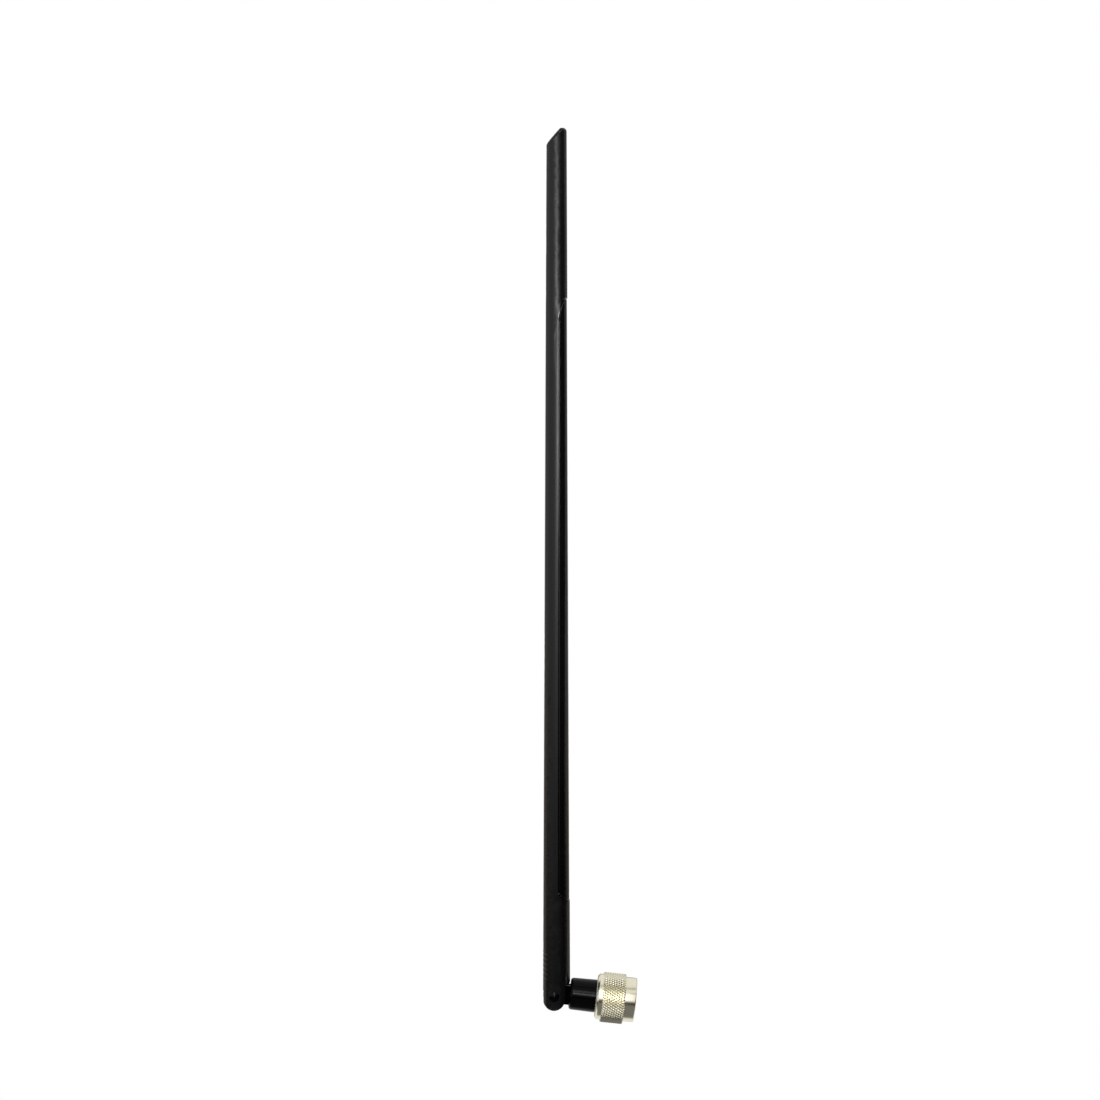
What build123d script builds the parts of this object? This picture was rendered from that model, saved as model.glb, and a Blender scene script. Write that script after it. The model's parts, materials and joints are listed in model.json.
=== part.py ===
from build123d import *
import math
import os

# A blade antenna for a wireless bridge or router: a tapering radome mast on a fork hinge, a short
# swivelling arm and an N plug. The origin is the centre of the plug's reference plane, where its
# outer contact meets the jack. The mast stands along +Z, and the plug's axis points to +X and
# droops below it. Stations are distances along the plug's axis, negative towards the hinge.
# Heights are above the hinge pin.

# Layout
droop = 6.0                    # degrees between the plug's axis and +X
hinge_station = -31.7          # hinge pin, along the plug's axis
hinge_offset = 1.0             # hinge pin to the plug's axis, and to the mast's axis
running_gap = 0.05             # radial play of a turning fit
parting_gap = 0.25             # gap round the back cover

# Radome mast
mast_top = 363.3
mast_foot = -5.85
foot_width, foot_depth = 11.45, 13.2
tip_width, tip_depth = 8.5, 10.3
squareness = 2.8               # 2 would be an ellipse
shell_wall = 1.5
cavity_floor, cavity_roof = 11.0, 354.0
slant_low, slant_high = 356.9, 363.05
slant_reach = 1.4              # where the slant meets the rounded top, past the mast's axis
tip_round = 1.2

# Grip grooves at the mast's foot
groove_count = 6
groove_first, groove_pitch = 7.1, 2.06
groove_width, groove_depth = 0.9, 0.45

# Back cover
cover_seam = 0.5               # seam plane, past the mast's axis
cover_low, cover_high = 39.5, 292.3
cover_low_round, cover_high_round = 5.0, 10.8
cover_sunk = 0.2
cover_wall = 1.7
cover_edge = 0.5               # rounding of its rim
lip_depth, lip_gap, lip_inner = 1.1, 0.06, 2.3
lip_low, lip_high = cover_low + 4, cover_high - 8.5

# Fork and tongue
fork_slot = 5.7
fork_round = 4.7
fork_centre = hinge_offset + 0.15    # middle of the ears, from the mast's axis
fork_shoulder = 5.0            # top of the slot, and of the step that clears the arm
shoulder_cut = 0.6
ear_edge = 0.4
tongue_thickness = 5.4
tongue_round = 4.6
tongue_low = 3.4               # flat underside, below the pin
tongue_channel = 2.8
tongue_web = 1.6               # channel floor, beyond the pin
shank_radius = 1.2
shank_end = 1.45
shank_bore = shank_radius + running_gap
head_radius, head_bore = 1.95, 2.1
head_seat, head_rim, head_dome = 5.5, 6.25, 6.7
washer_radius, washer_thickness = 3.2, 0.4
washer_recess = 0.3

# Swivelling arm
arm_back_station = hinge_station + 6.45
arm_front_station = -14.3
arm_back_radius, arm_front_radius = 6.6, 6.8
arm_back_round, arm_front_round = 1.2, 0.3
arm_bore_end = -20.8
arm_bore_radius = 4.0 + running_gap
clip_room = (-19.0, -17.9)
clip_room_radius = 4.6
coax_bore = 1.2

# N plug
barrel_radius = 6.5
neck_radius = 4.0
seat_station = -10.5           # gasket seat
contact_inner, contact_outer = 3.5, 4.0
contact_spigot = 3.8           # the end pressed into the hub
contact_back = -12.5
pin_radius, pin_shoulder_radius = 0.825, 1.52
pin_tip, pin_shoulder, pin_back = -0.4, -5.4, -13.0
cup_back = -16.0
barrel_back, neck_back = -13.7, -20.6
chamber_radius, chamber_back = 2.4, -16.2
ferrule_radius = 1.2
clip_groove = (-18.85, -18.05)
clip_split = 4.0
seal_groove = (-16.95, -15.9)
groove_floor = 3.3
seat_hub_radius = 4.9
hub_front = seat_station + 0.9
swivel_play = 0.05             # each side of the swivel washer

# Coupling nut, for 5/8-24 UNEF
nut_back, nut_front = -14.0, 2.3
knurl_back, knurl_front = -11.7, -2.3
knurl_radius, back_collar, front_collar = 10.45, 9.45, 9.2
thread_minor, lead_radius = 7.43, 8.1
lead_back, thread_back, relief_back = 0.1, -8.5, -10.55
relief_radius = 8.05
nut_bore = barrel_radius + 0.06
snap_groove = (-12.6, -11.8)
snap_floor, snap_split = 5.9, 1.5
nut_groove = (-12.75, -11.65)
nut_groove_radius = 7.25

# Radiator
board_face = -0.7              # copper side of the board, from the mast's axis
board_thickness, board_width = 0.8, 5.8
board_low, board_high = 46.0, 345.0
copper_thickness = 0.05
element_count = 6
wide_trace, narrow_trace = 4.6, 1.0
sleeve_low, sleeve_high = 16.0, 42.0
spacer_heights = {"lower": 72.0, "middle": 190.0, "upper": 308.0}
spacer_height = 9.0
sleeve_inner, sleeve_outer = 1.2, 1.6

# Coax
coax_radius = 0.7
conductor_radius = 0.25
bend_radius = 6.4
feed_height = 58.0
grommet_low, grommet_radius = 8.0, 1.9

tilt = math.radians(droop)
along = Vector(math.cos(tilt), 0, -math.sin(tilt))
rise = Vector(math.sin(tilt), 0, math.cos(tilt))
plug_axis = Axis((0, 0, 0), along)
plug_side = Plane(origin=(0, 0, 0), x_dir=along, z_dir=(0, -1, 0))
pivot = along * hinge_station - rise * hinge_offset
arm_side = Plane(origin=pivot, x_dir=along, z_dir=(0, -1, 0))
mast_axis_foot = pivot + Vector(hinge_offset, 0, 0)
mast_side = Plane(origin=mast_axis_foot, x_dir=(1, 0, 0), z_dir=(0, -1, 0))
mast_plan = Plane(origin=mast_axis_foot, x_dir=(1, 0, 0), z_dir=(0, 0, 1))
crossing = hinge_offset * (1 - math.sin(tilt)) / math.cos(tilt)    # where the two axes meet
bend_reach = bend_radius * math.tan((math.pi / 2 - tilt) / 2)
bend_top = crossing + bend_reach
coax_station = hinge_station + crossing + bend_reach
far = 20.0                     # past the outside of any section


def half_sizes(height):
    # Half the mast's width along X and depth along Y.
    taper = 1 - min(max(height, 0), mast_top) / mast_top
    half_width = (tip_width + (foot_width - tip_width) * taper) / 2
    half_depth = (tip_depth + (foot_depth - tip_depth) * taper) / 2
    return half_width, half_depth


def oval_points(height, inset):
    # A closed superellipse, the mast's section drawn in by inset.
    half_width, half_depth = half_sizes(height)
    points = []
    for step in range(24):
        turn = math.radians(15 * step)
        x = math.copysign(abs(math.cos(turn)) ** (2 / squareness), math.cos(turn))
        y = math.copysign(abs(math.sin(turn)) ** (2 / squareness), math.sin(turn))
        points.append(((half_width - inset) * x, (half_depth - inset) * y))
    return points


def oval_column(low, high, inset=0.0):
    # The mast's tapering body between two heights.
    middle = [20, 60, 110, 170, 240, 310]
    heights = [low] + [height for height in middle if low + 8 < height < high - 8] + [high]
    with BuildPart() as column:
        for height in heights:
            with BuildSketch(mast_plan.offset(height)):
                with BuildLine():
                    Spline(*oval_points(height, inset), periodic=True)
                make_face()
        loft()
    return column.part


def cover_outline(gap):
    # The back cover's window seen from the side, drawn in by gap, with quarter-ellipse ends.
    seam = cover_seam + gap
    low, high = cover_low + gap, cover_high - gap
    low_edge = half_sizes(low)[0]
    high_edge = half_sizes(high)[0]
    with BuildSketch(mast_side) as outline:
        with BuildLine():
            Line((seam, low + cover_low_round), (seam, high - cover_high_round))
            EllipticalCenterArc((high_edge, high - cover_high_round), high_edge - seam,
                                cover_high_round, 90, arc_size=90)
            Line((high_edge, high), (far, high))
            Line((far, high), (far, low))
            Line((far, low), (low_edge, low))
            EllipticalCenterArc((low_edge, low + cover_low_round), low_edge - seam,
                                cover_low_round, 180, arc_size=90)
        make_face()
    return outline.sketch


def ring_section(start, end, inner, outer, mode=Mode.ADD):
    # A rectangle beside the plug's axis, which revolves into a ring.
    with Locations(((start + end) / 2, (inner + outer) / 2)):
        Rectangle(abs(end - start), outer - inner, mode=mode)


def corner_near(x, y):
    # The sketch's corner nearest to a point.
    return vertices().sort_by_distance((x, y, 0))[0]


def hinge_disc(near, far_side, radius, mode=Mode.ADD):
    # A disc on the hinge's axis, between two places along it.
    with Locations(Location((pivot.X, (near + far_side) / 2, pivot.Z), (90, 0, 0))):
        Cylinder(radius, abs(far_side - near), mode=mode)


def mast_disc(low, high, radius, mode=Mode.ADD):
    # A disc on the mast's axis, between two heights.
    with Locations(mast_axis_foot + Vector(0, 0, (low + high) / 2)):
        Cylinder(radius, high - low, mode=mode)


def mast_block(left, right, width, low, high, mode=Mode.ADD):
    # A block centred on the mast's depth, between two places across it and two heights.
    with Locations(mast_axis_foot + Vector((left + right) / 2, 0, (low + high) / 2)):
        Box(right - left, width, high - low, mode=mode)


os.makedirs("parts", exist_ok=True)

# Radome shell: tip, long window for the cover, grip grooves and fork
with BuildPart() as radome_shell:
    add(oval_column(mast_foot - 1, mast_top + 1))
    with BuildSketch(mast_side):
        slope = (slant_high - slant_low) / (slant_reach + tip_width / 2)
        corner = (-far, slant_low - slope * (far - tip_width / 2))
        ear_left = -fork_round - fork_centre
        ear_right = fork_round - fork_centre
        ear_turn = mast_foot + fork_round
        shoulder_edge = foot_width / 2 - shoulder_cut
        with BuildLine():
            SagittaArc(corner, (slant_reach, slant_high), -0.3)
            Line((slant_reach, slant_high), (slant_reach + 1.2, mast_top))
            Line((slant_reach + 1.2, mast_top), (far, mast_top))
            Line((far, mast_top), (far, fork_shoulder + far - shoulder_edge))
            Line((far, fork_shoulder + far - shoulder_edge), (shoulder_edge, fork_shoulder))
            Line((shoulder_edge, fork_shoulder), (ear_right, fork_shoulder))
            Line((ear_right, fork_shoulder), (ear_right, ear_turn))
            ThreePointArc((ear_right, ear_turn), (-fork_centre, mast_foot), (ear_left, ear_turn))
            Line((ear_left, ear_turn), (-far, ear_turn))
            Line((-far, ear_turn), corner)
        make_face()
        fillet(corner_near(ear_right, fork_shoulder), 0.8)
    extrude(amount=far, both=True, mode=Mode.INTERSECT)
    tip_edges = edges().filter_by_position(Axis.Z, pivot.Z + slant_low - 4, pivot.Z + mast_top + 1)
    fillet(tip_edges, tip_round)
    foot_edges = edges().filter_by_position(Axis.Z, pivot.Z + mast_foot - 1, pivot.Z + fork_shoulder + 3)
    fillet(foot_edges.filter_by(Axis.Y, reverse=True), ear_edge)
    add(oval_column(cavity_floor, cavity_roof, shell_wall), mode=Mode.SUBTRACT)
    extrude(cover_outline(0), amount=far, both=True, mode=Mode.SUBTRACT)
    with BuildSketch(mast_side):
        with Locations((-hinge_offset, 0)):
            Circle(fork_shoulder)
        with Locations((0, -far / 2)):
            Rectangle(2 * far, far)
        with Locations((far / 2 - hinge_offset, fork_shoulder / 2)):
            Rectangle(far, fork_shoulder)
    extrude(amount=fork_slot / 2, both=True, mode=Mode.SUBTRACT)
    mast_disc(0, cavity_floor + 1, coax_bore, Mode.SUBTRACT)
    mast_disc(grommet_low, cavity_floor + 1, grommet_radius, Mode.SUBTRACT)
    hinge_disc(-far, far, shank_radius, Mode.SUBTRACT)
    for side in (-1, 1):
        hinge_disc(side * head_seat, side * far, head_bore, Mode.SUBTRACT)
        hinge_disc(0, side * (fork_slot / 2 + washer_recess), washer_radius + 0.05, Mode.SUBTRACT)
    for index in range(groove_count):
        height = groove_first + index * groove_pitch
        moved = [(x + groove_depth, y) for x, y in oval_points(height, 0)]
        with BuildSketch(mast_plan.offset(height - groove_width / 2)):
            with Locations((-foot_width / 2, 0)):
                Rectangle(foot_width, foot_depth + 2)
            with BuildLine():
                Spline(*moved, periodic=True)
            make_face(mode=Mode.SUBTRACT)
        extrude(amount=groove_width, mode=Mode.SUBTRACT)
radome_shell.part.label = "radome_shell"
export_step(radome_shell.part, "parts/radome_shell.step")

# Back cover: a sunk skin with a lip along both long sides, which slips inside the shell's wall
with BuildPart() as cover_lip:
    add(oval_column(lip_low, lip_high, shell_wall + lip_gap))
    add(oval_column(lip_low - 1, lip_high + 1, lip_inner), mode=Mode.SUBTRACT)
    mast_block(cover_seam - lip_depth, cover_seam + 0.6, far, cover_low, cover_high, Mode.INTERSECT)

with BuildPart() as back_cover:
    add(oval_column(cover_low - 2, cover_high + 2, cover_sunk))
    extrude(cover_outline(parting_gap), amount=far, both=True, mode=Mode.INTERSECT)
    fillet(edges().filter_by(lambda edge: abs(edge.center().Y) > 1), cover_edge)
    add(oval_column(cover_low - 4, cover_high + 4, cover_wall), mode=Mode.SUBTRACT)
    add(cover_lip.part)
back_cover.part.label = "back_cover"
export_step(back_cover.part, "parts/back_cover.step")

# Hinge: a headed stub pin and a friction washer in each ear
dome_radius = (head_radius ** 2 + (head_dome - head_rim) ** 2) / (2 * (head_dome - head_rim))
dome_span = math.degrees(math.asin(head_radius / dome_radius))
for side, place in ((-1, "front"), (1, "rear")):
    with BuildPart() as pivot_pin:
        with BuildSketch(Plane(origin=pivot, x_dir=(0, side, 0), z_dir=(side, 0, 0))):
            with BuildLine():
                Polyline((head_dome, 0), (shank_end, 0), (shank_end, shank_radius),
                         (head_seat, shank_radius), (head_seat, head_radius), (head_rim, head_radius))
                CenterArc((head_dome - dome_radius, 0), dome_radius, 0, arc_size=dome_span)
            make_face()
        revolve(axis=Axis(pivot, (0, 1, 0)))
    pivot_pin.part.label = f"pivot_pin_{place}"
    export_step(pivot_pin.part, f"parts/pivot_pin_{place}.step")

    with BuildPart() as friction_washer:
        washer_seat = side * (fork_slot / 2 + washer_recess)
        hinge_disc(washer_seat, washer_seat - side * washer_thickness, washer_radius)
        hinge_disc(washer_seat, washer_seat - side * washer_thickness, shank_bore, Mode.SUBTRACT)
    friction_washer.part.label = f"friction_washer_{place}"
    export_step(friction_washer.part, f"parts/friction_washer_{place}.step")

# Radiator: a board with alternating wide and narrow copper, opposite ways round on its two faces
board_back = board_face - board_thickness
with BuildPart() as radiator_board:
    mast_block(board_back, board_face, board_width, board_low, board_high)
radiator_board.part.label = "radiator_board"
export_step(radiator_board.part, "parts/radiator_board.step")

element_pitch = (board_high - 1 - feed_height) / element_count
for place, copper_low, wide_first in (("front", board_face, 0), ("rear", board_back - copper_thickness, 1)):
    with BuildPart() as copper:
        for index in range(element_count):
            width = wide_trace if index % 2 == wide_first else narrow_trace
            low = feed_height + 0.1 + index * element_pitch
            mast_block(copper_low, copper_low + copper_thickness, width, low, low + element_pitch)
    copper.part.label = f"{place}_copper"
    export_step(copper.part, f"parts/{place}_copper.step")

for place, height in spacer_heights.items():
    with BuildPart() as foam_spacer:
        add(oval_column(height - spacer_height / 2, height + spacer_height / 2, shell_wall + 0.03))
        spacer_right = board_back - copper_thickness
        mast_block(-far, spacer_right, far, height - far, height + far, Mode.INTERSECT)
    foam_spacer.part.label = f"foam_spacer_{place}"
    export_step(foam_spacer.part, f"parts/foam_spacer_{place}.step")

with BuildPart() as feed_solder:
    mast_block(board_face + copper_thickness, 0.35, 1.6, feed_height, feed_height + 2)
    fillet(edges().filter_by(Axis.Z).group_by(Axis.X)[-1], 0.6)
feed_solder.part.label = "feed_solder"
export_step(feed_solder.part, "parts/feed_solder.step")

with BuildPart() as balun_sleeve:
    mast_disc(sleeve_low, sleeve_high, sleeve_outer)
    mast_disc(sleeve_low, sleeve_high - 1, sleeve_inner, Mode.SUBTRACT)
    mast_disc(sleeve_low, sleeve_high, coax_radius, Mode.SUBTRACT)
balun_sleeve.part.label = "balun_sleeve"
export_step(balun_sleeve.part, "parts/balun_sleeve.step")

# Coax: up the mast, round the hinge between the stub pins, and down the arm into the plug
with BuildPart() as mast_coax:
    mast_disc(bend_top, feed_height, coax_radius)
mast_coax.part.label = "mast_coax"
export_step(mast_coax.part, "parts/mast_coax.step")

with BuildPart() as cable_grommet:
    mast_disc(grommet_low, cavity_floor, grommet_radius)
    mast_disc(grommet_low, cavity_floor, coax_radius, Mode.SUBTRACT)
cable_grommet.part.label = "cable_grommet"
export_step(cable_grommet.part, "parts/cable_grommet.step")

with BuildPart() as hinge_coax:
    with BuildLine(mast_side):
        CenterArc((bend_radius, bend_top), bend_radius, 180, arc_size=90 - droop)
    with BuildSketch(mast_plan.offset(bend_top)):
        Circle(coax_radius)
    sweep()
hinge_coax.part.label = "hinge_coax"
export_step(hinge_coax.part, "parts/hinge_coax.step")

with BuildPart() as arm_coax:
    with BuildSketch(plug_side):
        ring_section(coax_station, chamber_back - 0.2, 0, coax_radius)
        ring_section(chamber_back - 0.2, cup_back + 1.2, 0, conductor_radius)
    revolve(axis=plug_axis)
arm_coax.part.label = "arm_coax"
export_step(arm_coax.part, "parts/arm_coax.step")

# Swivelling arm: a round body bored for the plug's neck, with a channelled tongue for the fork
with BuildPart() as swivel_arm:
    with BuildSketch(plug_side):
        with BuildLine():
            Polyline((arm_back_station, 0), (arm_back_station, arm_back_radius),
                     (arm_front_station, arm_front_radius), (arm_front_station, 0), close=True)
        make_face()
        fillet(corner_near(arm_back_station, arm_back_radius), arm_back_round)
        fillet(corner_near(arm_front_station, arm_front_radius), arm_front_round)
    revolve(axis=plug_axis)
    tongue_root = arm_back_station - hinge_station + 0.6
    with BuildSketch(arm_side):
        Circle(tongue_round)
        with Locations((tongue_root / 2, 0)):
            Rectangle(tongue_root, 2 * tongue_round)
        with Locations((0, -tongue_low - far / 2)):
            Rectangle(2 * far, far, mode=Mode.SUBTRACT)
    extrude(amount=tongue_thickness / 2, both=True)
    with BuildSketch(arm_side):
        with Locations(((tongue_root - tongue_round) / 2, (tongue_round - tongue_web) / 2)):
            Rectangle(tongue_root + tongue_round, tongue_round + tongue_web)
    extrude(amount=tongue_channel / 2, both=True, mode=Mode.SUBTRACT)
    with BuildSketch(plug_side):
        ring_section(arm_bore_end, arm_front_station, 0, arm_bore_radius)
        ring_section(*clip_room, 0, clip_room_radius)
        ring_section(arm_back_station, arm_bore_end, 0, coax_bore)
    revolve(axis=plug_axis, mode=Mode.SUBTRACT)
    hinge_disc(-tongue_thickness, tongue_thickness, shank_bore, Mode.SUBTRACT)
swivel_arm.part.label = "swivel_arm"
export_step(swivel_arm.part, "parts/swivel_arm.step")

# Plug body: gasket seat and hub, barrel for the nut, and the grooved neck that the arm turns on
with BuildPart() as plug_body:
    with BuildSketch(plug_side):
        ring_section(barrel_back, seat_station, 0, barrel_radius)
        ring_section(seat_station, hub_front, 0, seat_hub_radius)
        ring_section(neck_back, barrel_back, 0, neck_radius)
        ring_section(contact_back, hub_front, 0, contact_spigot, Mode.SUBTRACT)
        ring_section(chamber_back, contact_back, 0, chamber_radius, Mode.SUBTRACT)
        ring_section(neck_back, chamber_back, 0, ferrule_radius, Mode.SUBTRACT)
        ring_section(*snap_groove, snap_floor, far, Mode.SUBTRACT)
        ring_section(*clip_groove, groove_floor, far, Mode.SUBTRACT)
        ring_section(*seal_groove, groove_floor, far, Mode.SUBTRACT)
    revolve(axis=plug_axis)
plug_body.part.label = "plug_body"
export_step(plug_body.part, "parts/plug_body.step")

with BuildPart() as outer_contact:
    with BuildSketch(plug_side):
        ring_section(contact_back, hub_front, contact_inner, contact_spigot)
        ring_section(hub_front, 0, contact_inner, contact_outer)
    revolve(axis=plug_axis)
outer_contact.part.label = "outer_contact"
export_step(outer_contact.part, "parts/outer_contact.step")

with BuildPart() as center_pin:
    with BuildSketch(plug_side):
        ring_section(cup_back, pin_back, 0, 1.0)
        ring_section(pin_back, pin_shoulder, 0, pin_shoulder_radius)
        ring_section(pin_shoulder, pin_tip, 0, pin_radius)
        ring_section(cup_back, cup_back + 1.3, 0, conductor_radius + 0.02, Mode.SUBTRACT)
        chamfer(corner_near(pin_tip, pin_radius), 0.6, 0.45)
    revolve(axis=plug_axis)
center_pin.part.label = "center_pin"
export_step(center_pin.part, "parts/center_pin.step")

with BuildPart() as dielectric:
    with BuildSketch(plug_side):
        ring_section(contact_back + 0.1, contact_back + 4, pin_shoulder_radius, contact_inner)
    revolve(axis=plug_axis)
dielectric.part.label = "dielectric"
export_step(dielectric.part, "parts/dielectric.step")

with BuildPart() as gasket:
    with BuildSketch(plug_side):
        ring_section(seat_station, seat_station + 1.1, seat_hub_radius, barrel_radius - 0.05)
    revolve(axis=plug_axis)
gasket.part.label = "gasket"
export_step(gasket.part, "parts/gasket.step")

with BuildPart() as crimp_ferrule:
    with BuildSketch(plug_side):
        ring_section(neck_back + 0.3, chamber_back - 0.2, coax_radius, ferrule_radius)
    revolve(axis=plug_axis)
crimp_ferrule.part.label = "crimp_ferrule"
export_step(crimp_ferrule.part, "parts/crimp_ferrule.step")

# Swivel: washer between barrel and arm, split clip that keeps the arm on, and rubber ring
with BuildPart() as swivel_washer:
    with BuildSketch(plug_side):
        ring_section(arm_front_station + swivel_play, barrel_back - swivel_play, arm_bore_radius, 6.3)
    revolve(axis=plug_axis)
swivel_washer.part.label = "swivel_washer"
export_step(swivel_washer.part, "parts/swivel_washer.step")

with BuildPart() as swivel_clip:
    with BuildSketch(plug_side):
        ring_section(*clip_groove, groove_floor, clip_room_radius - 0.1)
    revolve(axis=plug_axis)
    with BuildSketch(plug_side):
        ring_section(*clip_groove, -far, 0)
    extrude(amount=clip_split / 2, both=True, mode=Mode.SUBTRACT)
swivel_clip.part.label = "swivel_clip"
export_step(swivel_clip.part, "parts/swivel_clip.step")

with BuildPart() as swivel_o_ring:
    with BuildSketch(plug_side):
        ring_thickness = arm_bore_radius - 0.01 - groove_floor
        with Locations(((seal_groove[0] + seal_groove[1]) / 2, groove_floor + ring_thickness / 2)):
            Circle(ring_thickness / 2)
    revolve(axis=plug_axis)
swivel_o_ring.part.label = "swivel_o_ring"
export_step(swivel_o_ring.part, "parts/swivel_o_ring.step")

# Coupling nut and the split ring that keeps it on the barrel
with BuildPart() as nut_snap_ring:
    with BuildSketch(plug_side):
        ring_section(*snap_groove, snap_floor, nut_groove_radius - 0.1)
    revolve(axis=plug_axis)
    with BuildSketch(plug_side):
        ring_section(*snap_groove, -far, 0)
    extrude(amount=snap_split / 2, both=True, mode=Mode.SUBTRACT)
nut_snap_ring.part.label = "nut_snap_ring"
export_step(nut_snap_ring.part, "parts/nut_snap_ring.step")

with BuildPart() as coupling_nut:
    with BuildSketch(plug_side):
        ring_section(nut_back, knurl_back, 0, back_collar)
        ring_section(knurl_back, knurl_front, 0, knurl_radius)
        ring_section(knurl_front, nut_front, 0, front_collar)
        chamfer(corner_near(nut_back, back_collar), 0.8)
        chamfer(corner_near(knurl_back, knurl_radius), 0.35)
        chamfer(corner_near(knurl_front, knurl_radius), 0.35)
        chamfer(corner_near(nut_front, front_collar), 0.35)
        ring_section(nut_back, relief_back, 0, nut_bore, Mode.SUBTRACT)
        ring_section(relief_back, thread_back, 0, relief_radius, Mode.SUBTRACT)
        ring_section(thread_back, lead_back, 0, thread_minor, Mode.SUBTRACT)
        ring_section(lead_back, nut_front, 0, lead_radius, Mode.SUBTRACT)
        ring_section(*nut_groove, 0, nut_groove_radius, Mode.SUBTRACT)
    revolve(axis=plug_axis)
coupling_nut.part.label = "coupling_nut"
export_step(coupling_nut.part, "parts/coupling_nut.step")
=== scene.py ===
import json
import math

import bmesh
import bpy
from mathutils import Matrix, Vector


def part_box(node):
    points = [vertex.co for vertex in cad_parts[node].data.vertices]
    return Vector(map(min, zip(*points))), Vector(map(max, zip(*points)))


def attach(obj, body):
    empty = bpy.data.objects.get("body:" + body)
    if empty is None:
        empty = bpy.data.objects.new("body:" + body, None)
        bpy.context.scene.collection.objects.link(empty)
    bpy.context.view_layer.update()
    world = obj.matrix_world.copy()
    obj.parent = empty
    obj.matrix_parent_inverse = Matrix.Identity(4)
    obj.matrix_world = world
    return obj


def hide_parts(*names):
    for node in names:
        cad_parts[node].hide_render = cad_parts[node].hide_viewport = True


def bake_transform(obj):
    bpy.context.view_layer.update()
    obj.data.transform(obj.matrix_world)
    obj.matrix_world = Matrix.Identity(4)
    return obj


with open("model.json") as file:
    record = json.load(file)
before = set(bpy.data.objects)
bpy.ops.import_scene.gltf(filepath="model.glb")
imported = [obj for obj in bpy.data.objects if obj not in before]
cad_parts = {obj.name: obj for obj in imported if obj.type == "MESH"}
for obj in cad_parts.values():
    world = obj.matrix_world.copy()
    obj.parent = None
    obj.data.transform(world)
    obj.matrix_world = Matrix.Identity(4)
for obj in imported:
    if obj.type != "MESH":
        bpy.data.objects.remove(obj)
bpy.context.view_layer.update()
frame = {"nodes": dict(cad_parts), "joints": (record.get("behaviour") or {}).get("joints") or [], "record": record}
nodes = frame["nodes"]
slotOf = {part["node"]: part["material_slot"] for part in frame["record"]["subparts"]}
joints = {joint["name"]: joint for joint in frame["joints"]}
mounts = {mount["name"]: mount for mount in frame["record"]["mounts"]}
mm = 0.001
print("frame loaded:", len(nodes), "nodes")

# the plug's axis, the two directions square to it, and the hinge pin
plugAxis = Vector(mounts["plug_contact"]["axis"]).normalized()
plugSide = Vector((0, 1, 0))
plugRise = plugAxis.cross(plugSide)
pivot = Vector(joints["tilt"]["pos_m"])


def stationSpan(node):
    # where a node starts and ends along the plug's axis, in millimetres
    stations = [vertex.co.dot(plugAxis) / mm for vertex in nodes[node].data.vertices]
    return min(stations), max(stations)


def onPlug(station, radius, turn):
    outward = plugRise * math.cos(turn) + plugSide * math.sin(turn)
    return (plugAxis * station + outward * radius) * mm


class Wire:
    # one output in a shader tree; sums and products on it add Math or Vector Math nodes
    def __init__(self, tree, socket):
        self.tree = tree
        self.socket = socket

    def combine(self, operation, first, second):
        kinds = [term.socket.type for term in (first, second) if isinstance(term, Wire)]
        if "VECTOR" in kinds or "RGBA" in kinds:
            first, second = [(term,) * 3 if isinstance(term, (int, float)) else term
                             for term in (first, second)]
            return self.tree.node("VectorMath", {"operation": operation}, {0: first, 1: second})
        return self.tree.node("Math", {"operation": operation}, {0: first, 1: second})

    def __add__(self, other):
        return self.combine("ADD", self, other)

    def __sub__(self, other):
        return self.combine("SUBTRACT", self, other)

    def __rsub__(self, other):
        return self.combine("SUBTRACT", other, self)

    def __mul__(self, other):
        return self.combine("MULTIPLY", self, other)

    def __truediv__(self, other):
        return self.combine("DIVIDE", self, other)

    __radd__ = __add__
    __rmul__ = __mul__

    def above(self, edge, softness):
        # 0 below edge, 1 above it, eased over softness
        return self.tree.node("MapRange", {"interpolation_type": "SMOOTHSTEP"},
                              {0: self, 1: edge - softness / 2, 2: edge + softness / 2})

    def between(self, low, high, softness):
        return self.above(low, softness) * (1 - self.above(high, softness))


class Tree:
    # the node tree of a material or a world
    def __init__(self, owner):
        owner.use_nodes = True
        self.nodes = owner.node_tree.nodes
        self.links = owner.node_tree.links
        self.nodes.clear()

    def node(self, kind, settings=None, sockets=None, outlet=0):
        made = self.nodes.new("ShaderNode" + kind)
        for key, value in (settings or {}).items():
            setattr(made, key, value)
        for key, value in (sockets or {}).items():
            if isinstance(value, Wire):
                self.links.new(value.socket, made.inputs[key])
            else:
                made.inputs[key].default_value = value
        return Wire(self, made.outputs[outlet] if made.outputs else None)

    def place(self):
        return self.node("TexCoord", outlet="Object")

    def noise(self, size, detail=2.0, roughness=0.5):
        # soft cloudy values, size in millimetres
        return self.node("TexNoise", sockets={"Vector": self.place() * (1 / (size * mm)), "Scale": 1.0,
                                              "Detail": detail, "Roughness": roughness}, outlet="Fac")

    def mixColour(self, factor, first, second):
        sockets = {0: factor, 6: (*first, 1), 7: (*second, 1)}
        return self.node("Mix", {"data_type": "RGBA"}, sockets, outlet=2)

    def hollow(self, reach):
        # 0 on open faces, towards 1 down in grooves and corners
        return 1 - self.node("AmbientOcclusion", {"samples": 8}, {"Distance": reach * mm}, outlet="AO")

    def bump(self, height, depth):
        return self.node("Bump", sockets={"Strength": 1.0, "Distance": depth * mm, "Height": height})


# what every plastic and rubber shares: sizes in millimetres, and how dust settles in its hollows
plasticWear = {"cloudSize": 9.0, "fleckSize": 2.3, "hollowReach": 0.6, "hollowEdge": 0.45,
               "dustRoughness": 0.3}

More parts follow.
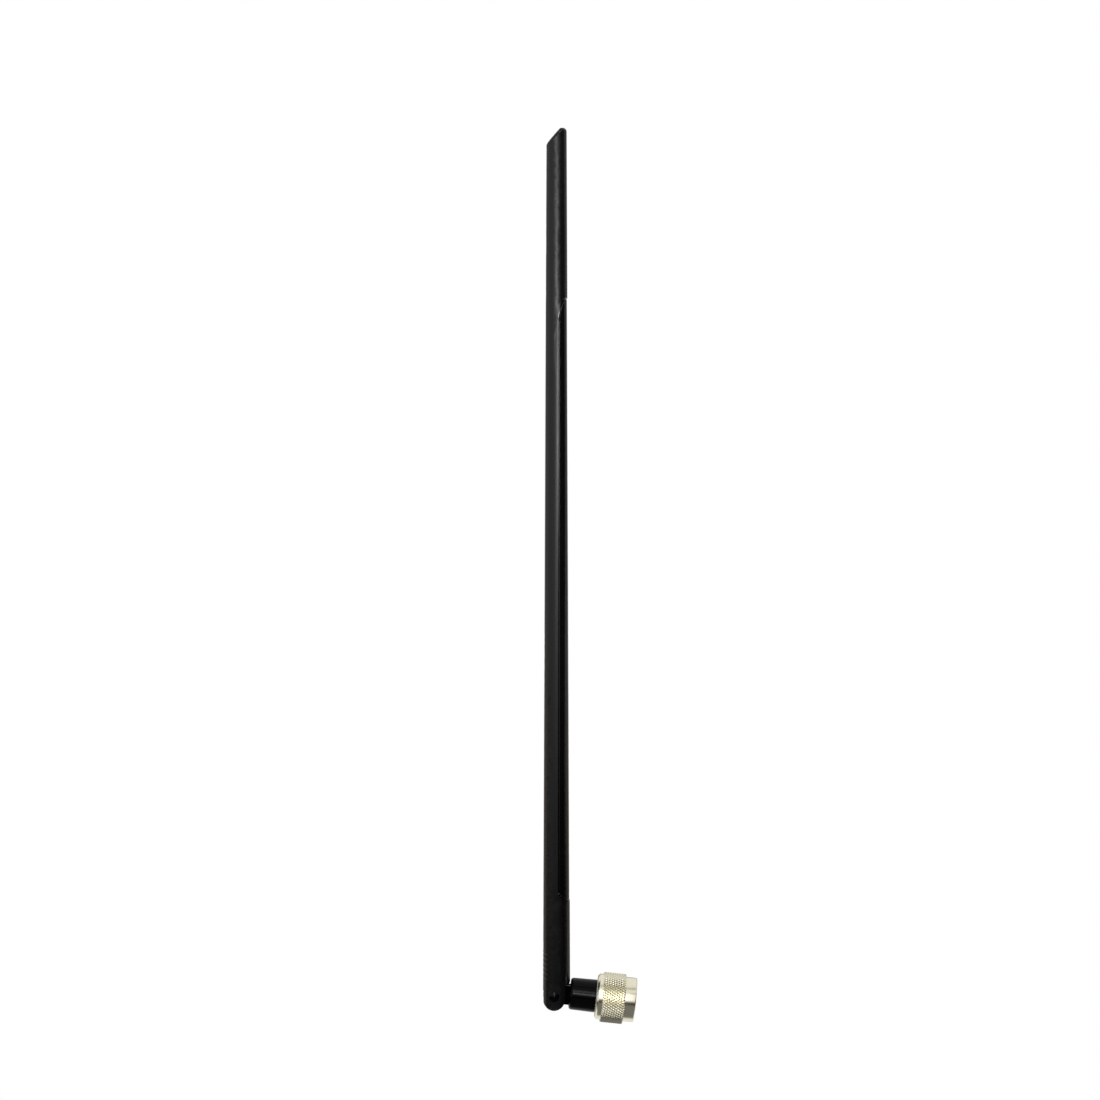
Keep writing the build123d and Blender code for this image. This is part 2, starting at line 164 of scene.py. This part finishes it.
# plastics and rubbers: colour, settled dust, a sheen that wanders, moulding grain
plasticLooks = {
    "shell_plastic": {"colour": (0.0015, 0.0015, 0.0016), "dust": (0.012, 0.012, 0.013),
                      "dustAmount": 0.08, "specular": 0.38, "roughness": 0.25, "spread": 0.05,
                      "grainSize": 0.20, "grainDepth": 0.0035},
    "cover_plastic": {"colour": (0.0014, 0.0014, 0.0016), "dust": (0.012, 0.012, 0.012),
                      "dustAmount": 0.08, "specular": 0.34, "roughness": 0.13, "spread": 0.05,
                      "grainSize": 0.9, "grainDepth": 0.002},
    "arm_plastic": {"colour": (0.0013, 0.0014, 0.0013), "dust": (0.012, 0.012, 0.011),
                    "dustAmount": 0.08, "specular": 0.08, "roughness": 0.15, "spread": 0.05,
                    "grainSize": 0.7, "grainDepth": 0.002},
    "ptfe": {"colour": (0.78, 0.78, 0.75), "dust": (0.6, 0.6, 0.56), "dustAmount": 0.2,
             "specular": 0.5, "roughness": 0.35, "spread": 0.08, "grainSize": 0.5, "grainDepth": 0.004},
    "nylon": {"colour": (0.70, 0.69, 0.62), "dust": (0.5, 0.5, 0.44), "dustAmount": 0.2,
              "specular": 0.5, "roughness": 0.45, "spread": 0.08, "grainSize": 0.4, "grainDepth": 0.004},
    "gasket_rubber": {"colour": (0.23, 0.035, 0.015), "dust": (0.33, 0.12, 0.08),
                      "dustAmount": 0.3, "specular": 0.5, "roughness": 0.50, "spread": 0.10,
                      "grainSize": 0.25, "grainDepth": 0.006},
    "seal_rubber": {"colour": (0.012, 0.012, 0.012), "dust": (0.05, 0.05, 0.05),
                    "dustAmount": 0.3, "specular": 0.5, "roughness": 0.45, "spread": 0.10,
                    "grainSize": 0.3, "grainDepth": 0.006},
    "coax_jacket": {"colour": (0.012, 0.012, 0.013), "dust": (0.05, 0.05, 0.05),
                    "dustAmount": 0.2, "specular": 0.5, "roughness": 0.38, "spread": 0.08,
                    "grainSize": 0.3, "grainDepth": 0.004},
    "foam": {"colour": (0.06, 0.06, 0.065), "dust": (0.13, 0.13, 0.13), "dustAmount": 0.6,
             "specular": 0.3, "roughness": 0.90, "spread": 0.08, "grainSize": 0.5, "grainDepth": 0.08},
    "board": {"colour": (0.03, 0.11, 0.04), "dust": (0.05, 0.16, 0.07), "dustAmount": 0.5,
              "specular": 0.5, "roughness": 0.28, "spread": 0.08, "grainSize": 0.35, "grainDepth": 0.004},
}


def plasticMaterial(name):
    look = plasticLooks[name]
    material = bpy.data.materials.new(name)
    tree = Tree(material)
    cloud = tree.noise(plasticWear["cloudSize"], 4.0, 0.55)
    settled = tree.noise(plasticWear["fleckSize"], 5.0, 0.65).above(0.58, 0.2) * cloud.above(0.5, 0.3)
    corners = tree.hollow(plasticWear["hollowReach"]).above(plasticWear["hollowEdge"], 0.5)
    settled = (settled + corners) * look["dustAmount"]
    shader = tree.node("BsdfPrincipled", sockets={
        "Base Color": tree.mixColour(settled, look["colour"], look["dust"]),
        "Roughness": (look["roughness"] + (cloud - 0.5) * look["spread"]
                      + settled * plasticWear["dustRoughness"]),
        "Specular IOR Level": look["specular"],
        "Normal": tree.bump(tree.noise(look["grainSize"], 3.0, 0.6), look["grainDepth"])})
    tree.node("OutputMaterial", sockets={"Surface": shader})
    return material


# what every metal shares: sizes in millimetres, and how the darkening is split between painted shade in hollows
# and tarnish stains
metalWear = {"lineSpacing": 0.05, "cloudSize": 1.8, "hollowReach": 0.5, "hollowShade": 0.7, "inStains": 0.3,
             "sheenSpread": 0.08, "tarnishRoughness": 0.25}

# metals: plating or bare stock with fine turning marks, tarnish stains, and painted shade darkening the hollows
metalLooks = {
    "nut_plating": {"colour": (0.86, 0.82, 0.64), "tarnishAndShade": (0.34, 0.29, 0.18), "roughness": 0.21,
                    "turning": 0.0012, "stainAndShadeAmount": 0.30},
    "nickel": {"colour": (0.74, 0.71, 0.63), "tarnishAndShade": (0.35, 0.30, 0.22), "roughness": 0.20,
               "turning": 0.003, "stainAndShadeAmount": 0.3},
    "contact_plating": {"colour": (0.76, 0.74, 0.69), "tarnishAndShade": (0.40, 0.36, 0.30), "roughness": 0.22,
                        "turning": 0.003, "stainAndShadeAmount": 0.2},
    "gold": {"colour": (0.90, 0.62, 0.22), "tarnishAndShade": (0.55, 0.33, 0.10), "roughness": 0.18,
             "turning": 0.001, "stainAndShadeAmount": 0.2},
    "spring_steel": {"colour": (0.42, 0.42, 0.43), "tarnishAndShade": (0.20, 0.18, 0.15), "roughness": 0.30,
                     "turning": 0.003, "stainAndShadeAmount": 0.3},
    "pin_steel": {"colour": (0.010, 0.010, 0.011), "tarnishAndShade": (0.005, 0.005, 0.005), "roughness": 0.16,
                  "turning": 0.001, "stainAndShadeAmount": 0.2},
    "copper": {"colour": (0.85, 0.42, 0.24), "tarnishAndShade": (0.40, 0.20, 0.12), "roughness": 0.30,
               "turning": 0.001, "stainAndShadeAmount": 0.4},
    "solder": {"colour": (0.62, 0.62, 0.64), "tarnishAndShade": (0.35, 0.34, 0.33), "roughness": 0.25,
               "turning": 0.0005, "stainAndShadeAmount": 0.3},
    "bare_brass": {"colour": (0.78, 0.58, 0.27), "tarnishAndShade": (0.38, 0.25, 0.10), "roughness": 0.25,
                   "turning": 0.002, "stainAndShadeAmount": 0.4},
}


def metalMaterial(name):
    look = metalLooks[name]
    material = bpy.data.materials.new(name)
    tree = Tree(material)
    along = tree.node("VectorMath", {"operation": "DOT_PRODUCT"},
                      {0: tree.place(), 1: tuple(plugAxis)}, outlet="Value")
    ridge = along / (metalWear["lineSpacing"] * mm)
    lines = tree.node("TexNoise", {"noise_dimensions": "1D"},
                      {"W": ridge, "Scale": 1.0, "Detail": 2.0}, outlet="Fac")
    cloud = tree.noise(metalWear["cloudSize"], 4.0, 0.6)
    # painted shade: ambient occlusion darkens hollows and knurl grooves towards the dark colour, where shade falls
    corners = tree.hollow(metalWear["hollowReach"]).above(0.4, 0.6)
    stains = cloud.above(0.62, 0.25)
    # the dark mix is painted shade in the hollows plus real tarnish stains from the cloud
    stainsAndShade = (corners * metalWear["hollowShade"] + stains * metalWear["inStains"]) * look["stainAndShadeAmount"]
    shader = tree.node("BsdfPrincipled", sockets={
        "Base Color": tree.mixColour(stainsAndShade, look["colour"], look["tarnishAndShade"]),
        "Roughness": (look["roughness"] + (cloud - 0.5) * metalWear["sheenSpread"]
                      + stainsAndShade * metalWear["tarnishRoughness"]),
        "Metallic": 1.0, "Normal": tree.bump(lines, look["turning"])})
    tree.node("OutputMaterial", sockets={"Surface": shader})
    return material


materials = {name: plasticMaterial(name) for name in plasticLooks}
materials.update({name: metalMaterial(name) for name in metalLooks})
for name, node in nodes.items():
    node.data.materials.clear()
    node.data.materials.append(materials[slotOf[name]])
print("materials made:", len(materials))


def softened(corners, radius, closed=False, steps=3):
    # the same outline with its corners turned into small arcs; an open one keeps its two ends
    outline = []
    for place, corner in enumerate(corners):
        point = Vector(corner)
        if not closed and place in (0, len(corners) - 1):
            outline.append(tuple(point))
            continue
        before = Vector(corners[place - 1]) - point
        after = Vector(corners[(place + 1) % len(corners)]) - point
        reach = min(radius, before.length * 0.4, after.length * 0.4)
        start, end = point + before.normalized() * reach, point + after.normalized() * reach
        for step in range(steps + 1):
            share = step / steps
            outline.append(tuple(start * (1 - share) ** 2 + point * 2 * share * (1 - share)
                                 + end * share ** 2))
    return outline


# how close two points are to be one, and the angle that still shades as a round
meshing = {"weld": 0.0005 * mm, "sharpFrom": math.radians(38)}


def meshFrom(builder, name):
    bmesh.ops.remove_doubles(builder, verts=builder.verts, dist=meshing["weld"])
    bmesh.ops.recalc_face_normals(builder, faces=builder.faces)
    mesh = bpy.data.meshes.new(name)
    builder.to_mesh(mesh)
    builder.free()
    mesh.shade_smooth()
    mesh.set_sharp_from_angle(angle=meshing["sharpFrom"])
    return mesh


def pieceFrom(mesh, node, body):
    # a finished piece that stands for one CAD node; without a body, it is left unattached
    piece = bpy.data.objects.new(mesh.name, mesh)
    bpy.context.scene.collection.objects.link(piece)
    mesh.materials.append(materials[slotOf[node]])
    if body:
        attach(piece, body)
    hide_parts(node)
    return piece


def turned(name, rows, count, fold=None):
    # a closed surface round the plug's axis; a row is a (station, radius), or gives one for each turn
    builder = bmesh.new()
    grid = []
    for row in rows:
        ring = []
        for column in range(count):
            turn = math.tau * column / count
            station, radius = row(turn) if callable(row) else row
            ring.append(builder.verts.new(onPlug(station, radius, turn)))
        grid.append(ring)
    for place, ring in enumerate(grid):
        following = grid[(place + 1) % len(grid)]
        for column in range(count):
            across = (column + 1) % count
            corners = [ring[column], ring[across], following[across], following[column]]
            way = fold(place, column) if fold else None
            if way is None:
                builder.faces.new(corners)
            else:
                corners = corners if way else corners[1:] + corners[:1]
                builder.faces.new(corners[:3])
                builder.faces.new(corners[2:] + corners[:1])
    return meshFrom(builder, name)


# coupling nut: two plain collars, a diamond knurl between them, and a cut thread inside
nut = {
    "starts": 57, "samples": 6, "helix": math.radians(30), "knurlDepth": 0.42, "crown": 0.82,
    "knurlRadius": 10.45, "knurlBack": -11.7, "knurlFront": -2.3, "knurlChamfer": 0.35,
    "backCollar": 9.45, "frontCollar": 9.2, "backChamfer": 0.8, "frontChamfer": 0.35,
    "bore": 6.56, "relief": 8.05, "reliefBack": -10.55, "threadBack": -8.5, "threadFront": 0.1,
    "minor": 7.43, "major": 7.94, "pitch": 25.4 / 24, "lead": 8.1, "leadChamfer": 0.35, "edge": 0.08,
    "underKnurl": 0.06, "threadProfile": (0, 0.5, 1, 1, 0.5, 0),
}
knurlPeriod = math.tau * nut["knurlRadius"] / nut["starts"] / math.tan(nut["helix"])
knurlStep = knurlPeriod / nut["samples"]


def knurlHeight(turn, station):
    # pyramids between two crossing sets of grooves, with worn tops
    around = turn * nut["starts"] / math.tau
    down = (station - nut["knurlBack"]) / knurlPeriod
    first, second = [abs((value % 1) - 0.5) * 2 for value in (around + down, around - down)]
    return min(min(1 - first, 1 - second) / nut["crown"], 1), first > second


def knurlRow(station):
    end = min(station - nut["knurlBack"], nut["knurlFront"] - station)
    limit = nut["knurlRadius"] - max(0, nut["knurlChamfer"] - end)

    def row(turn):
        height, _ = knurlHeight(turn, station)
        return station, min(nut["knurlRadius"] - nut["knurlDepth"] * (1 - height), limit)
    return row


def threadRow(shift, depth):
    # follows the helix, held between the thread's two ends
    def row(turn):
        station = nut["threadFront"] - shift + nut["pitch"] * turn / math.tau
        held = max(nut["threadBack"], min(nut["threadFront"], station))
        room = min(nut["threadFront"] - held, held - nut["threadBack"])
        fade = min(1.0, room / nut["pitch"])
        return held, nut["minor"] + depth * max(fade, 0)
    return row


def couplingNut():
    back, front = stationSpan("coupling_nut")
    rows = softened([(nut["reliefBack"], nut["bore"]), (back, nut["bore"]),
                     (back, nut["backCollar"] - nut["backChamfer"]),
                     (back + nut["backChamfer"], nut["backCollar"]),
                     (nut["knurlBack"], nut["backCollar"])], nut["edge"])
    floor = nut["knurlRadius"] - nut["knurlDepth"] - nut["underKnurl"]
    first = len(rows) + 1
    rows += [(nut["knurlBack"], floor)]
    length = nut["knurlFront"] - nut["knurlBack"]
    rows += [knurlRow(nut["knurlBack"] + place * knurlStep) for place in range(int(length / knurlStep) + 1)]
    rows += [knurlRow(nut["knurlFront"]), (nut["knurlFront"], floor)]
    last = len(rows) - 3
    rows += softened([(nut["knurlFront"], nut["frontCollar"]),
                      (front - nut["frontChamfer"], nut["frontCollar"]),
                      (front, nut["frontCollar"] - nut["frontChamfer"]),
                      (front, nut["lead"] + nut["leadChamfer"]),
                      (front - nut["leadChamfer"], nut["lead"]), (nut["threadFront"], nut["lead"]),
                      (nut["threadFront"], nut["minor"])], nut["edge"])
    turnsLength = nut["threadFront"] - nut["threadBack"] + nut["pitch"]
    for place in range(int(turnsLength / nut["pitch"] * nut["samples"]) + 1):
        depth = nut["threadProfile"][place % nut["samples"]] * (nut["major"] - nut["minor"])
        rows += [threadRow(place * nut["pitch"] / nut["samples"], depth)]
    rows += softened([(nut["threadBack"], nut["minor"]), (nut["threadBack"], nut["relief"]),
                      (nut["reliefBack"], nut["relief"]), (nut["reliefBack"], nut["bore"])], nut["edge"])
    count = nut["starts"] * nut["samples"]

    def fold(place, column):
        if not first <= place < last:
            return None
        station = nut["knurlBack"] + (place - first + 0.5) * knurlStep
        return not knurlHeight(math.tau * (column + 0.5) / count, station)[1]

    return pieceFrom(turned("nut_knurled", rows, count, fold), "coupling_nut", "nut")


nutPiece = couplingNut()
print("nut turned:", len(nutPiece.data.polygons), "faces")

# outer contact: a thin tube split into four springy fingers
contact = {"inner": 3.5, "outer": 4.0, "spigot": 3.8, "hubFront": -9.6, "slotWidth": 0.45, "slotBack": -7.2,
           "slotPast": 1, "bladeHeight": 12, "slotTurns": (math.pi / 4, math.pi * 3 / 4),
           "edge": 0.12, "sides": 96}


def outerContact():
    back, front = stationSpan("outer_contact")
    rows = softened([(back, contact["inner"]), (back, contact["spigot"]),
                     (contact["hubFront"], contact["spigot"]), (contact["hubFront"], contact["outer"]),
                     (front, contact["outer"]), (front, contact["inner"])], contact["edge"], closed=True)
    piece = pieceFrom(turned("outer_contact_slotted", rows, contact["sides"]), "outer_contact", "plug")
    length = front - contact["slotBack"] + contact["slotPast"]
    for turn in contact["slotTurns"]:
        builder = bmesh.new()
        bmesh.ops.create_cube(builder, size=1.0)
        for vertex in builder.verts:
            station = contact["slotBack"] + (vertex.co.x + 0.5) * length
            outward = plugRise * math.cos(turn) + plugSide * math.sin(turn)
            across = plugAxis.cross(outward)
            vertex.co = (plugAxis * station + outward * vertex.co.y * contact["bladeHeight"]
                         + across * vertex.co.z * contact["slotWidth"]) * mm
        blade = bpy.data.objects.new("blade", meshFrom(builder, "blade"))
        bpy.context.scene.collection.objects.link(blade)
        cut = piece.modifiers.new("slot", "BOOLEAN")
        cut.operation = "DIFFERENCE"
        cut.solver = "EXACT"
        cut.object = blade
        bpy.context.view_layer.update()
        evaluated = piece.evaluated_get(bpy.context.evaluated_depsgraph_get())
        finished = bpy.data.meshes.new_from_object(evaluated)
        piece.modifiers.clear()
        piece.data = finished
        bpy.data.objects.remove(blade)
    piece.data.name = "outer_contact_slotted"
    return piece


contactPiece = outerContact()
print("outer contact split:", len(contactPiece.data.polygons), "faces")

# gasket: a flat rubber ring with full round edges
gasket = {"inner": 4.9, "outer": 6.45, "round": 0.42, "sides": 72}
gasketBack, gasketFront = stationSpan("gasket")
gasketRows = softened([(gasketBack, gasket["inner"]), (gasketBack, gasket["outer"]),
                       (gasketFront, gasket["outer"]), (gasketFront, gasket["inner"])],
                      gasket["round"], closed=True, steps=6)
pieceFrom(turned("gasket_ring", gasketRows, gasket["sides"]), "gasket", "plug")

# coax round the hinge: one bend from the mast down into the arm
hingeCoax = {"bend": 6.4, "turn": math.radians(84), "radius": 0.7, "rings": 40, "sides": 20}


def coaxBend():
    low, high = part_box("mast_coax")
    top = Vector(((low[0] + high[0]) / 2, 0, low[2]))
    centre = top + Vector((hingeCoax["bend"] * mm, 0, 0))
    builder = bmesh.new()
    rings = []
    for place in range(hingeCoax["rings"] + 1):
        angle = math.pi + hingeCoax["turn"] * place / hingeCoax["rings"]
        outward = Vector((math.cos(angle), 0, math.sin(angle)))
        middle = centre + outward * hingeCoax["bend"] * mm
        ring = []
        for side in range(hingeCoax["sides"]):
            turn = math.tau * side / hingeCoax["sides"]
            reach = outward * math.cos(turn) + plugSide * math.sin(turn)
            ring.append(builder.verts.new(middle + reach * hingeCoax["radius"] * mm))
        rings.append(ring)
    for ring, following in zip(rings, rings[1:]):
        for side in range(hingeCoax["sides"]):
            across = (side + 1) % hingeCoax["sides"]
            builder.faces.new((ring[side], ring[across], following[across], following[side]))
    builder.faces.new(rings[0])
    builder.faces.new(rings[-1])
    piece = pieceFrom(meshFrom(builder, "hinge_coax_bend"), "hinge_coax", None)
    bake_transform(piece)


coaxBend()
print("gasket and hinge coax made")

# camera, square on to the mast's side
camera = {"distance": 0.95, "frameWidth": 0.462, "lens": 74.0, "besidePivot": -0.00176,
          "abovePivot": 0.1865, "near": 0.01, "far": 50}
eye = bpy.data.objects.new("camera", bpy.data.cameras.new("camera"))
bpy.context.scene.collection.objects.link(eye)
bpy.context.scene.camera = eye
eye.data.lens = camera["lens"]
eye.data.sensor_width = camera["lens"] * camera["frameWidth"] / camera["distance"]
eye.data.clip_start = camera["near"]
eye.data.clip_end = camera["far"]
eye.location = pivot + Vector((camera["besidePivot"], -camera["distance"], camera["abovePivot"]))
eye.rotation_euler = (math.pi / 2, 0, 0)

# floor, well below the plug so that a hanging mast clears it
floorLook = {"drop": 0.42, "size": 3.0, "sides": 96, "colour": (0.86, 0.86, 0.86),
             "cloud": (0.80, 0.80, 0.79), "cloudSize": 30.0, "roughness": 0.8}


def paperFloor():
    builder = bmesh.new()
    bmesh.ops.create_circle(builder, cap_ends=True, segments=floorLook["sides"],
                            radius=floorLook["size"] / 2)
    mesh = meshFrom(builder, "floor")
    floor = bpy.data.objects.new("floor", mesh)
    floor.location = (0, 0, -floorLook["drop"])
    bpy.context.scene.collection.objects.link(floor)
    paper = bpy.data.materials.new("paper")
    tree = Tree(paper)
    cloud = tree.noise(floorLook["cloudSize"])
    shader = tree.node("BsdfPrincipled", sockets={
        "Base Color": tree.mixColour(cloud, floorLook["colour"], floorLook["cloud"]),
        "Roughness": floorLook["roughness"]})
    tree.node("OutputMaterial", sockets={"Surface": shader})
    mesh.materials.append(paper)
    floor.visible_glossy = False


# a studio of soft white panels with dark gaps: bright above and to the left, dim low in front,
# dark from ahead to the right at the object's own height, half lit behind it
studio = {
    "bright": 0.88, "behind": 0.36, "bandHalf": 0.30, "bandSoft": 0.22, "right": 0.07,
    "rightStart": math.radians(17), "rightEnd": math.radians(100), "rightSoft": math.radians(20),
    "spread": math.radians(34), "spreadEdge": -0.04, "spreadSoft": 0.14,
    "low": 0.025, "lowEdge": -0.11, "lowSoft": 0.12, "under": 0.18, "underEdge": -0.32, "underSoft": 0.16,
    "lowBack": 0.2, "rearBack": 0.35, "backSoft": 0.3,
    "gaps": ((0.605, 0.69), (0.875, 0.935)), "gapLevel": 0.35, "gapSoft": 0.03, "gapBackSoft": 0.2,
    "warm": (1.0, 0.74, 0.52), "white": (1.0, 1.0, 1.0), "warmth": 0.7,
    "warmBelow": 0.05, "warmAbove": 0.03, "warmSoft": 0.05,
}


def surroundings():
    world = bpy.data.worlds.new("studio")
    bpy.context.scene.world = world
    tree = Tree(world)
    toward = tree.node("TexCoord", outlet="Generated")
    across, back, up = [tree.node("SeparateXYZ", sockets={0: toward}, outlet=axis) for axis in "XYZ"]
    bearing = tree.node("Math", {"operation": "ARCTAN2"}, {0: across, 1: 0 - back})
    level = up.between(-studio["bandHalf"], studio["bandHalf"], studio["bandSoft"])
    low = (1 - up.above(studio["lowEdge"], studio["lowSoft"]))
    low = low * (1 - back.above(studio["lowBack"], studio["backSoft"]))
    under = 1 - up.above(studio["underEdge"], studio["underSoft"])
    spread = (1 - up.above(studio["spreadEdge"], studio["spreadSoft"])) * studio["spread"]
    rightSide = (bearing + spread).between(studio["rightStart"], studio["rightEnd"], studio["rightSoft"])
    rightSide = rightSide * level
    rear = back.above(studio["rearBack"], studio["backSoft"]) * level

    ahead = 1 - back.above(0, studio["gapBackSoft"])

    def toned(light, mask, strength):
        return light + (strength - light) * mask

    light = studio["bright"] + rightSide * (studio["right"] - studio["bright"])
    light = toned(light, rear, studio["behind"])
    light = toned(light, low, under * (studio["under"] - studio["low"]) + studio["low"] * (1 - rightSide))
    for bottom, top in studio["gaps"]:
        light = toned(light, up.between(bottom, top, studio["gapSoft"]) * ahead, studio["gapLevel"])
    seen = tree.node("LightPath", outlet="Is Camera Ray")
    edge = up.between(studio["lowEdge"] - studio["warmBelow"], studio["lowEdge"] + studio["warmAbove"],
                      studio["warmSoft"]) * (1 - seen)
    tree.node("OutputWorld", sockets={"Surface": tree.node("Background", sockets={
        "Color": tree.mixColour(edge * studio["warmth"], studio["white"], studio["warm"]),
        "Strength": toned(light, seen, 1)})})


# two narrow lamps straight ahead: place, width and height, and power
lamps = {
    "front_high": {"place": (-0.03, -1.62, 1.02), "size": (0.14, 0.46), "power": 3.6},
    "front_low": {"place": (-0.03, -1.62, 0.40), "size": (0.14, 0.28), "power": 2.4},
}


def softLamp(name, place, size, power):
    light = bpy.data.lights.new(name, "AREA")
    light.shape = "RECTANGLE"
    light.size, light.size_y = size
    light.energy = power
    lamp = bpy.data.objects.new(name, light)
    bpy.context.scene.collection.objects.link(lamp)
    lamp.location = place
    target = pivot + Vector((0, 0, camera["abovePivot"]))
    lamp.rotation_euler = (target - Vector(place)).to_track_quat("-Z", "Y").to_euler()


paperFloor()
surroundings()
for name, lamp in lamps.items():
    softLamp(name, lamp["place"], lamp["size"], lamp["power"])
bpy.context.scene.view_settings.view_transform = "Standard"
print("stage set")
